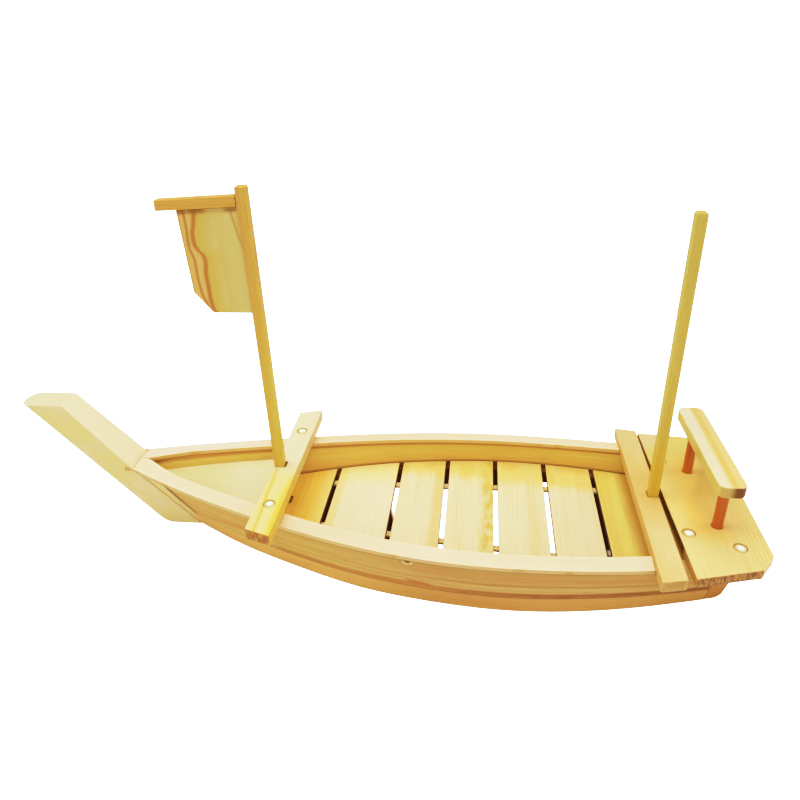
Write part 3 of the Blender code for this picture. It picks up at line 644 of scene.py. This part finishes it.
def deck_marks(p, colour):
    net = p.net
    up = net.smooth(p.facing[2], 0.4, 0.8)
    colour = net.mix(net.smooth(p.y, -50.0, 60.0) * 0.8, colour, (0.58, 0.44, 0.135))
    stripe = net.smooth(net.math("SINE", p.x * 2.1 + (strand(p, 0.01, 0.1, 4.0) - 0.5) * 5.0), 0.1, 0.9)
    aft = net.smooth(p.x, 279.0, 286.0) * (1.0 - net.smooth(p.y, -60.0, 20.0))
    colour = net.mix(stripe * aft * up * 0.55, colour, (0.62, 0.45, 0.10))
    # Painted shade on the deck under the stern rail.
    under = net.near(p.x, 261.0, 7.0, 10.0) * net.near(p.y, 0.0, 45.0, 20.0)
    colour = net.mix(under * up * 0.6, colour, (0.80, 0.50, 0.13))
    # Painted shadow of the stern rail on the deck, by the far peg.
    shade = net.smooth(p.x - (p.y - 11.5) * 0.37, 259.0, 268.0) * net.near(p.y, 26.0, 14.0, 26.0)
    colour = net.mix(shade * (1.0 - net.smooth(p.x, 277.0, 285.0)) * up * 0.5, colour, (0.50, 0.32, 0.075))
    warm = net.near(p.x, 247.0, 6.0, 10.0) * net.near(p.y, -22.0, 13.0, 18.0)
    colour = net.mix(warm * up, colour, (1.12, 1.04, 0.94), "MULTIPLY")
    corner = net.smooth(p.y, 60.0, 80.0) * (1.0 - net.smooth(p.x, 243.0, 254.0))
    colour = net.mix(corner * up, colour, (1.02, 1.03, 1.5), "MULTIPLY")
    colour = gap_marks(p, colour, -p.facing[0])
    places = ((244.1, -48.0), (276.8, -62.5), (276.8, 62.5))
    return ring_marks(p, colour, places, (0.40, 0.26, 0.05), 0.9)


def rail_marks(p, colour):
    net = p.net
    up = net.smooth(p.facing[2], 0.4, 0.8)
    mid = 265.3 - p.y * 0.006
    colour = net.mix(net.smooth(p.x, mid - 1.0, mid + 3.0) * 0.85 * up, colour, (0.76, 0.50, 0.195))
    colour = net.mix(net.near(p.x, mid + 0.6, 1.0, 3.0) * 0.8 * up, colour, (0.68, 0.43, 0.11))
    colour = net.mix(net.smooth(p.y, 0.0, 25.0) * up, colour, (0.89, 0.92, 1.0), "MULTIPLY")
    fore = net.smooth(-p.facing[0], 0.45, 0.8)
    colour = net.mix(fore * 0.95, colour, (0.59, 0.49, 0.14))
    end = net.smooth(-p.facing[1], 0.55, 0.8)
    colour = net.mix(end * 0.9, colour, (0.46, 0.34, 0.10))
    # The aft part of the rail's near end is painted dark: painted shade.
    return net.mix(end * net.smooth(p.x, 262.0, 268.0), colour, (0.15, 0.05, 0.012))


def panel_marks(p, colour):
    net = p.net
    main = wander(net, p.z, [(199.0, -115.2), (208.5, -117.8), (217.4, -117.8), (227.7, -118.0), (238.6, -116.8),
                             (246.2, -120.9), (254.5, -123.2), (264.1, -121.4), (276.2, -118.4)])
    left = wander(net, p.z, [(199.0, -119.6), (206.9, -121.7), (215.8, -124.1), (228.5, -124.9), (237.8, -124.8),
                             (249.3, -127.3), (264.1, -126.8), (276.2, -127.6)])
    right = wander(net, p.z, [(199.0, -80.0), (240.0, -85.4), (252.9, -87.9), (266.1, -90.8), (276.2, -92.4)])
    soft = strand(p, 0.012, 0.10, 4.0)
    colour = net.mix(net.smooth(soft, 0.40, 0.70) * 0.6, colour, (0.56, 0.43, 0.15))
    glow = net.smooth(p.x, main - 1.0, main + 1.0) * (1.0 - net.smooth(p.x, main + 3.0, main + 16.0))
    colour = net.mix(glow * 0.85, colour, (0.56, 0.43, 0.085))
    outer = 1.0 - net.smooth(p.x, main - 1.5, main)
    colour = net.mix(outer * 0.85, colour, (0.63, 0.41, 0.12))
    colour = net.mix(net.near(p.x, left + 3.2, 0.8, 1.6) * outer * 0.6, colour, (0.66, 0.47, 0.20))
    colour = net.mix(net.near(p.x, left - 2.2, 0.5, 1.4) * outer * 0.5, colour, (0.66, 0.46, 0.14))
    colour = net.mix(net.near(p.x, left, 0.35, 1.3) * 0.8, colour, (0.38, 0.17, 0.028))
    colour = net.mix(net.near(p.x, main, 0.6, 3.0) * 0.5, colour, (0.52, 0.26, 0.045))
    colour = net.mix(net.near(p.x, main, 0.6, 1.6) * 0.85, colour, (0.40, 0.155, 0.02))
    colour = net.mix(net.near(p.x, right, 0.3, 1.2) * 0.7, colour, (0.38, 0.25, 0.05))
    colour = net.mix(net.smooth(p.x, right, right + 3.0) * 0.6, colour, (0.58, 0.42, 0.10))
    # Painted shadow of the yard along the head of the panel, strongest in patches.
    under = p.z - ((p.x + 86.6) * 0.044 + 277.3)
    patch = net.most(net.near(p.x, -118.0, 3.5, 6.0), net.near(p.x, -129.0, 2.0, 4.0), net.near(p.x, -92.0, 2.0, 5.0))
    shade = net.smooth(under, -4.6, -1.6) * (patch * 0.65 + 0.35)
    colour = net.mix(shade * 0.9, colour, (0.25, 0.11, 0.018))
    rim = 1.0 - net.smooth(p.x - (-130.2 - (p.z - 215.0) * 0.037), 0.5, 1.8)
    return net.mix(rim * 0.55, colour, (0.28, 0.16, 0.035))


def stick_marks(tone, dark):
    def extra(p, colour):
        net = p.net
        colour = net.mix(net.smooth(strand(p, 0.008, 0.55, 2.0), 0.42, 0.66) * 0.7, colour, tone)
        return net.mix(net.smooth(strand(p, 0.010, 1.3, 7.0), 0.56, 0.72) * 0.6, colour, dark)
    return extra


def mast_marks(middle, tone, dark):
    """A mast that is ruddier along its fore half."""
    plain = stick_marks(tone, dark)

    def extra(p, colour):
        net = p.net
        fore = 1.0 - net.smooth(p.x + (strand(p, 0.010, 0.3, 3.0) - 0.5) * 5.0, middle - 2.5, middle + 2.0)
        colour = net.mix(fore * 0.75, plain(p, colour), (0.58, 0.35, 0.095))
        light = net.smooth(strand(p, 0.009, 1.0, 13.0), 0.55, 0.70)
        colour = net.mix(light * 0.4, colour, (0.62, 0.49, 0.12))
        tint = net.mix(net.smooth(p.z, 120.0, 250.0), (1.02, 1.11, 0.97), (0.94, 0.87, 0.89))
        return net.mix(1.0, colour, tint, "MULTIPLY")
    return extra


def rear_mast_marks(p, colour):
    """Browner towards its head and golden at its foot."""
    colour = stick_marks((0.57, 0.43, 0.085), (0.46, 0.30, 0.05))(p, colour)
    foot_tone = 1.0 - p.net.smooth(p.z, 68.0, 108.0)
    colour = p.net.mix(foot_tone, colour, (1.12, 0.985, 0.48), "MULTIPLY")
    return p.net.mix(p.net.smooth(p.z, 120.0, 240.0) * 0.6, colour, (0.46, 0.385, 0.092))


def steel(name):
    """Zinc-plated steel with turning marks and dull patches."""
    material = bpy.data.materials.new(name)
    material.use_nodes = True
    net = Net(material.node_tree)
    shader = net.tree.nodes["Principled BSDF"]
    place = net.node("ShaderNodeTexCoord")
    scaled = net.node("ShaderNodeVectorMath", operation="SCALE")
    net.feed(scaled.inputs[0], place.outputs["Object"])
    scaled.inputs["Scale"].default_value = 1000.0
    x, y, z = net.split(scaled.outputs[0])
    patch = net.noise(net.join(x * 0.8, y * 0.8, z * 0.4), detail=3.0)
    turned = net.noise(net.join(x * 0.15, y * 0.15, z * 7.0), detail=2.0)
    colour = net.mix(patch, (0.66, 0.65, 0.62), (0.50, 0.48, 0.44))
    colour = net.mix(net.smooth(patch, 0.62, 0.75) * 0.6, colour, (0.34, 0.25, 0.17))
    net.feed(shader.inputs["Base Color"], colour)
    shader.inputs["Metallic"].default_value = 1.0
    net.feed(shader.inputs["Roughness"], patch * 0.35 + turned * 0.15 + 0.15)
    bump = net.node("ShaderNodeBump")
    bump.inputs["Strength"].default_value = 0.4
    bump.inputs["Distance"].default_value = 0.00005
    net.feed(bump.inputs["Height"], turned)
    net.feed(shader.inputs["Normal"], bump.outputs[0])
    return material


# ---------------------------------------------------------------- dressing the pieces
def ease(node, width, segments=2, angle=32.0):
    """Takes the sharpness off a piece's arrises, without touching the CAD mesh."""
    thing = nodes[node]
    if "custom_normal" in thing.data.attributes:
        thing.data.attributes.remove(thing.data.attributes["custom_normal"])
    thing.data.shade_smooth()
    weld = thing.modifiers.new("weld", "WELD")
    weld.merge_threshold = 2e-6
    flat = thing.modifiers.new("flat", "DECIMATE")
    flat.decimate_type = "DISSOLVE"
    flat.angle_limit = math.radians(0.25)
    bevel = thing.modifiers.new("bevel", "BEVEL")
    bevel.limit_method = "ANGLE"
    bevel.angle_limit = math.radians(angle)
    bevel.width = width * 0.001
    bevel.segments = segments
    bevel.use_clamp_overlap = True
    shading = thing.modifiers.new("shading", "WEIGHTED_NORMAL")
    shading.mode = "FACE_AREA"
    shading.keep_sharp = False


def dress(node, material, width=0.6, segments=2):
    thing = nodes[node]
    thing.data.materials.clear()
    thing.data.materials.append(material)
    ease(node, width, segments)


EASED = {"front_crossbeam": 1.6, "stern_rail": 1.1, "stern_crossbeam": 0.9, "stern_deck": 0.9, "stem": 0.9,
         "sail_mast": 0.9, "rear_mast": 0.9, "sail_yard": 0.9}  # arrises planed off wider than the rest, mm

for node in sorted(nodes):
    low, high = (corner * 1000 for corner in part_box(node))
    middle = (low + high) / 2
    seed = float(sum(ord(c) * (i + 3) for i, c in enumerate(node)) % 97)
    side = -1.0 if node.startswith("port") else 1.0
    crossways, lengthways = along_y(middle.x, high.z), along_x(middle.y, high.z)
    square = box_arris(node)
    if node.endswith("upper_strake"):
        made = pine(node, upper_plank, GOLD, GOLD_LATE, pith=(60.0, -20.0), spacing=3.4, lines=0.22,
                    wobble=2.0, fibre=0.75, blotch=0.25, seed=seed, arris=plank_arris, wear=0.15,
                    extra=upper_marks(side), ends=strake_ends)
    elif node.endswith("lower_strake"):
        made = pine(node, lower_plank, (0.57, 0.33, 0.104), (0.46, 0.23, 0.055), pith=(50.0, -20.0), spacing=3.0,
                    lines=0.22, wobble=1.6, fibre=0.7, blotch=0.25, seed=seed, arris=plank_arris, wear=0.15,
                    extra=lower_marks(side), ends=strake_ends)
    elif node.endswith("gunwale_cap"):
        made = pine(node, cap_board, CREAM, CREAM_LATE, pith=(40.0, -60.0), seed=seed, lines=0.14, fibre=0.3,
                    blotch=0.2, arris=cap_arris, end_tone=1.1, extra=cap_marks(side))
    elif node == "stem":
        made = pine(node, raked_post, (0.85, 0.68, 0.40), (0.75, 0.55, 0.26), pith=(30.0, 60.0), lines=0.15,
                    fibre=0.3, blotch=0.25, flecks=0.1, seed=seed, extra=stem_marks)
    elif node == "foredeck":
        made = pine(node, lengthways, (0.67, 0.57, 0.315), (0.58, 0.46, 0.18), spacing=4.0, lines=0.12, fibre=0.35,
                    blotch=0.5, seed=seed, arris=square, extra=foredeck_marks)
    elif node == "front_crossbeam":
        made = pine(node, crossways, PALE, PALE_LATE, lines=0.12, fibre=0.3, blotch=0.15, seed=seed, arris=square,
                    wear=0.12, extra=front_beam_marks, ends=end_marks((0.47, 0.27, 0.048), (0.29, 0.105, 0.014), 0.34))
    elif node.startswith("tray_slat"):
        made = pine(node, crossways, (0.77, 0.60, 0.33), (0.68, 0.46, 0.17), spacing=2.3, lines=0.24, wobble=1.0,
                    fibre=0.45, blotch=0.3, seed=seed, arris=square, wear=0.2, extra=slat_marks(int(node[-1])))
    elif node == "stern_crossbeam":
        made = pine(node, crossways, (0.74, 0.535, 0.255), (0.64, 0.40, 0.13), lines=0.15, fibre=0.4, blotch=0.3,
                    seed=seed, arris=square, extra=stern_beam_marks,
                    wear=0.15, ends=end_marks((0.50, 0.34, 0.12), (0.42, 0.26, 0.08), 0.30))
    elif node == "stern_deck":
        made = pine(node, crossways, (0.76, 0.55, 0.235), (0.66, 0.42, 0.12), spacing=3.6, lines=0.2, fibre=0.4,
                    blotch=0.3, seed=seed, arris=square, extra=deck_marks,
                    wear=0.15, ends=end_marks((0.42, 0.23, 0.075), (0.20, 0.08, 0.02), 0.75))
    elif node == "stern_rail":
        made = pine(node, crossways, (0.80, 0.63, 0.36), PALE_LATE, lines=0.12, fibre=0.3, blotch=0.15, seed=seed,
                    arris=square, extra=rail_marks, ends=lambda p, colour: colour)
    elif node == "sail_mast":
        made = pine(node, along_z(middle.x, middle.y), (0.60, 0.45, 0.09), (0.50, 0.31, 0.045), pith=(40.0, 36.0),
                    lines=0.25, fibre=0.4, blotch=0.3, seed=seed, arris=square, wear=0.15, end_tone=1.05,
                    extra=mast_marks(middle.x, (0.60, 0.38, 0.06), (0.44, 0.22, 0.035)))
    elif node == "rear_mast":
        made = pine(node, along_z(middle.x, middle.y), (0.56, 0.475, 0.118), (0.48, 0.36, 0.065), pith=(40.0, 36.0),
                    lines=0.25, fibre=0.4, blotch=0.3, seed=seed, arris=square, wear=0.15, end_tone=1.05,
                    extra=rear_mast_marks)
    elif node == "sail_yard":
        made = pine(node, stick_x(middle.z, middle.y), (0.59, 0.37, 0.092), (0.48, 0.25, 0.045), pith=(30.0, 36.0),
                    lines=0.25, fibre=0.4, blotch=0.3, seed=seed, arris=square, wear=0.2,
                    extra=stick_marks((0.57, 0.31, 0.055), (0.44, 0.205, 0.035)))
    elif node == "sail_panel":
        made = pine(node, along_z(middle.x, middle.y), (0.59, 0.52, 0.205), (0.52, 0.40, 0.12), pith=(10.0, 90.0),
                    lines=0.08, fibre=0.35, blotch=0.25, flecks=0.1, seed=seed, arris=square, wear=0.15,
                    extra=panel_marks)
    elif node.endswith("peg"):
        made = pine(node, along_z(middle.x, middle.y), (0.48, 0.126, 0.022), (0.34, 0.070, 0.010), pith=(9.0, 12.0),
                    spacing=1.6, lines=0.5, fibre=0.6, seed=seed, flecks=0.1, rough=0.42)
    elif node.endswith("plug"):
        face = (0.76, 0.61, 0.31) if node == "starboard_deck_fore_plug" else (0.95, 0.90, 0.76)
        made = pine(node, lengthways, face, (0.84, 0.70, 0.44), pith=(14.0, -20.0), spacing=1.7,
                    lines=0.2, fibre=0.3, blotch=0.2, flecks=0.05, seed=seed,
                    extra=rim_marks(middle.x, middle.y, (0.60, 0.43, 0.13) if "deck" in node else (0.50, 0.42, 0.075), 1.0))
    elif node.endswith("screw"):
        made = steel(node)
    elif node.endswith("batten"):
        made = pine(node, lengthways, (0.88, 0.66, 0.29), (0.76, 0.51, 0.17), lines=0.3, seed=seed, arris=square)
    elif node == "transom":
        made = pine(node, crossways, (0.56, 0.33, 0.11), (0.45, 0.23, 0.055), lines=0.3, seed=seed, arris=square,
                    end_tone=0.95)
    elif node.endswith("mast_step"):
        made = pine(node, lengthways, (0.60, 0.42, 0.17), (0.46, 0.27, 0.08), seed=seed, arris=square)
    else:
        made = pine(node, crossways, (0.58, 0.38, 0.14), (0.45, 0.25, 0.07), seed=seed, arris=square)
    dress(node, made, EASED.get(node, 0.6), 3 if node in EASED else 2)


# ---------------------------------------------------------------- stage
def plane(name, corners, z):
    mesh = bpy.data.meshes.new(name)
    mesh.from_pydata([(x, y, z) for x, y in corners], [], [tuple(range(len(corners)))])
    made = bpy.data.objects.new(name, mesh)
    scene.collection.objects.link(made)
    return made


floor = plane("floor", [(-8, -8), (8, -8), (8, 8), (-8, 8)], -0.0002)
paper = bpy.data.materials.new("floor_paper")
paper.use_nodes = True
net = Net(paper.node_tree)
paper.node_tree.nodes.remove(paper.node_tree.nodes["Principled BSDF"])
path = net.node("ShaderNodeLightPath")
seen = net.node("ShaderNodeEmission")
place = net.node("ShaderNodeTexCoord")
scaled = net.node("ShaderNodeVectorMath", operation="SCALE")
net.feed(scaled.inputs[0], place.outputs["Object"])
scaled.inputs["Scale"].default_value = 1000.0
x, y, _ = net.split(scaled.outputs[0])
# the shade under the boat, which daylight reaches only amidships
covered = 1.0 - net.smooth(abs(y), foot(x) - 10.0, foot(x) - 5.0)
covered = covered * net.smooth(x, -140.0, -130.0) * (1.0 - net.smooth(x, 246.0, 252.0))
daylight = net.smooth(x + y * 0.3, 12.5, 17.5) * (1.0 - net.smooth(x, 163.0, 172.0))
reach = net.smooth(x, 122.0, 138.0) * 23.0
daylight = daylight * (1.0 - net.smooth(y - reach, 57.0, 63.0))
glint = net.near(x, 195.2, 1.2, 2.5) * net.near(y, -25.0, 1.5, 3.0)
shade = covered * (1.0 - net.most(daylight, glint * 0.12))
tint = covered * (1.0 - net.most(daylight, glint * 0.8))
net.feed(seen.inputs["Strength"], 3.0 - shade * 2.985)
net.feed(seen.inputs["Color"], net.mix(tint, (1.0, 1.0, 1.0), (1.0, 0.42, 0.22)))
lit = net.node("ShaderNodeBsdfDiffuse")
lit.inputs["Color"].default_value = (0.80, 0.79, 0.77, 1.0)
both = net.node("ShaderNodeMixShader")
net.feed(both.inputs[0], path.outputs["Is Camera Ray"])
net.feed(both.inputs[1], lit.outputs[0])
net.feed(both.inputs[2], seen.outputs[0])
net.feed(net.tree.nodes["Material Output"].inputs["Surface"], both.outputs[0])
floor.data.materials.append(paper)

world = bpy.data.worlds.new("studio")
scene.world = world
world.use_nodes = True
net = Net(world.node_tree)
path = net.node("ShaderNodeLightPath")
back = net.tree.nodes["Background"]
back.inputs["Color"].default_value = (1.0, 1.0, 1.0, 1.0)
net.feed(back.inputs["Strength"], net.math("MULTIPLY_ADD", Num(net, path.outputs["Is Camera Ray"]), 2.8, 0.2))


def softbox(name, place, aim, size, power, tint=(1.0, 1.0, 1.0)):
    light = bpy.data.lights.new(name, "AREA")
    light.shape = "RECTANGLE"
    light.size, light.size_y = size
    light.energy = power
    light.color = tint
    made = bpy.data.objects.new(name, light)
    scene.collection.objects.link(made)
    made.location = place
    made.rotation_euler = (Vector(aim) - Vector(place)).to_track_quat("-Z", "Y").to_euler()
    made.visible_camera = False
    return made


softbox("softbox_top", (-0.15, 0.25, 1.7), (0.0, 0.0, 0.0), (2.4, 2.0), 38.0)
softbox("softbox_bow", (-1.7, 0.1, 0.8), (0.0, 0.0, 0.05), (1.4, 1.2), 10.8)
softbox("softbox_stern", (1.7, 0.1, 0.8), (0.0, 0.0, 0.05), (1.4, 1.2), 10.8)
softbox("softbox_front", (0.2, -1.9, 0.75), (0.0, 0.0, 0.05), (1.8, 1.2), 12.6)

# ---------------------------------------------------------------- camera
yaw, pitch, roll = (math.radians(a) for a in (7.53, 28.71, -2.27))
back = Vector((math.sin(yaw) * math.cos(pitch), -math.cos(yaw) * math.cos(pitch), math.sin(pitch)))
right = (-back).cross(Vector((0, 0, 1))).normalized()
up = right.cross(-back)
across = math.cos(roll) * right + math.sin(roll) * up
upright = -math.sin(roll) * right + math.cos(roll) * up
lens = bpy.data.cameras.new("camera")
lens.sensor_width = 36.0
lens.lens = 687.09 * 36.0 / 800.0
lens.clip_start = 0.01
camera = bpy.data.objects.new("camera", lens)
scene.collection.objects.link(camera)
camera.matrix_world = Matrix((
    (across.x, upright.x, back.x, 0.0854),
    (across.y, upright.y, back.y, -0.4734),
    (across.z, upright.z, back.z, 0.3861),
    (0.0, 0.0, 0.0, 1.0),
))
scene.camera = camera

# The picture's own response: full, creamy lights and warm shadows. Light in, picture out.
RESPONSE = (
    ((0.0, 0.0), (0.10, 0.13), (0.30, 0.40), (0.43, 0.56), (0.60, 0.69), (0.80, 0.80), (1.05, 0.88),
     (1.40, 0.95), (2.0, 1.0)),
    ((0.0, 0.0), (0.10, 0.105), (0.275, 0.30), (0.45, 0.50), (0.80, 0.81), (1.10, 0.95), (1.5, 1.0),
     (2.0, 1.0)),
    ((0.0, 0.0), (0.10, 0.07), (0.20, 0.155), (0.30, 0.29), (0.47, 0.55), (0.70, 0.82), (1.0, 0.98),
     (1.4, 1.0), (2.0, 1.0)),
)
settings = scene.view_settings
settings.view_transform = "Standard"
settings.look = "None"
settings.use_curve_mapping = True
mapping = settings.curve_mapping
mapping.white_level = (2.0, 2.0, 2.0)
mapping.extend = "HORIZONTAL"
for curve, points in zip(mapping.curves, RESPONSE):
    while len(curve.points) < len(points):
        curve.points.new(0.5, 0.5)
    for point, (light, picture) in zip(curve.points, points):
        point.location = (light / 2.0, picture)
mapping.update()
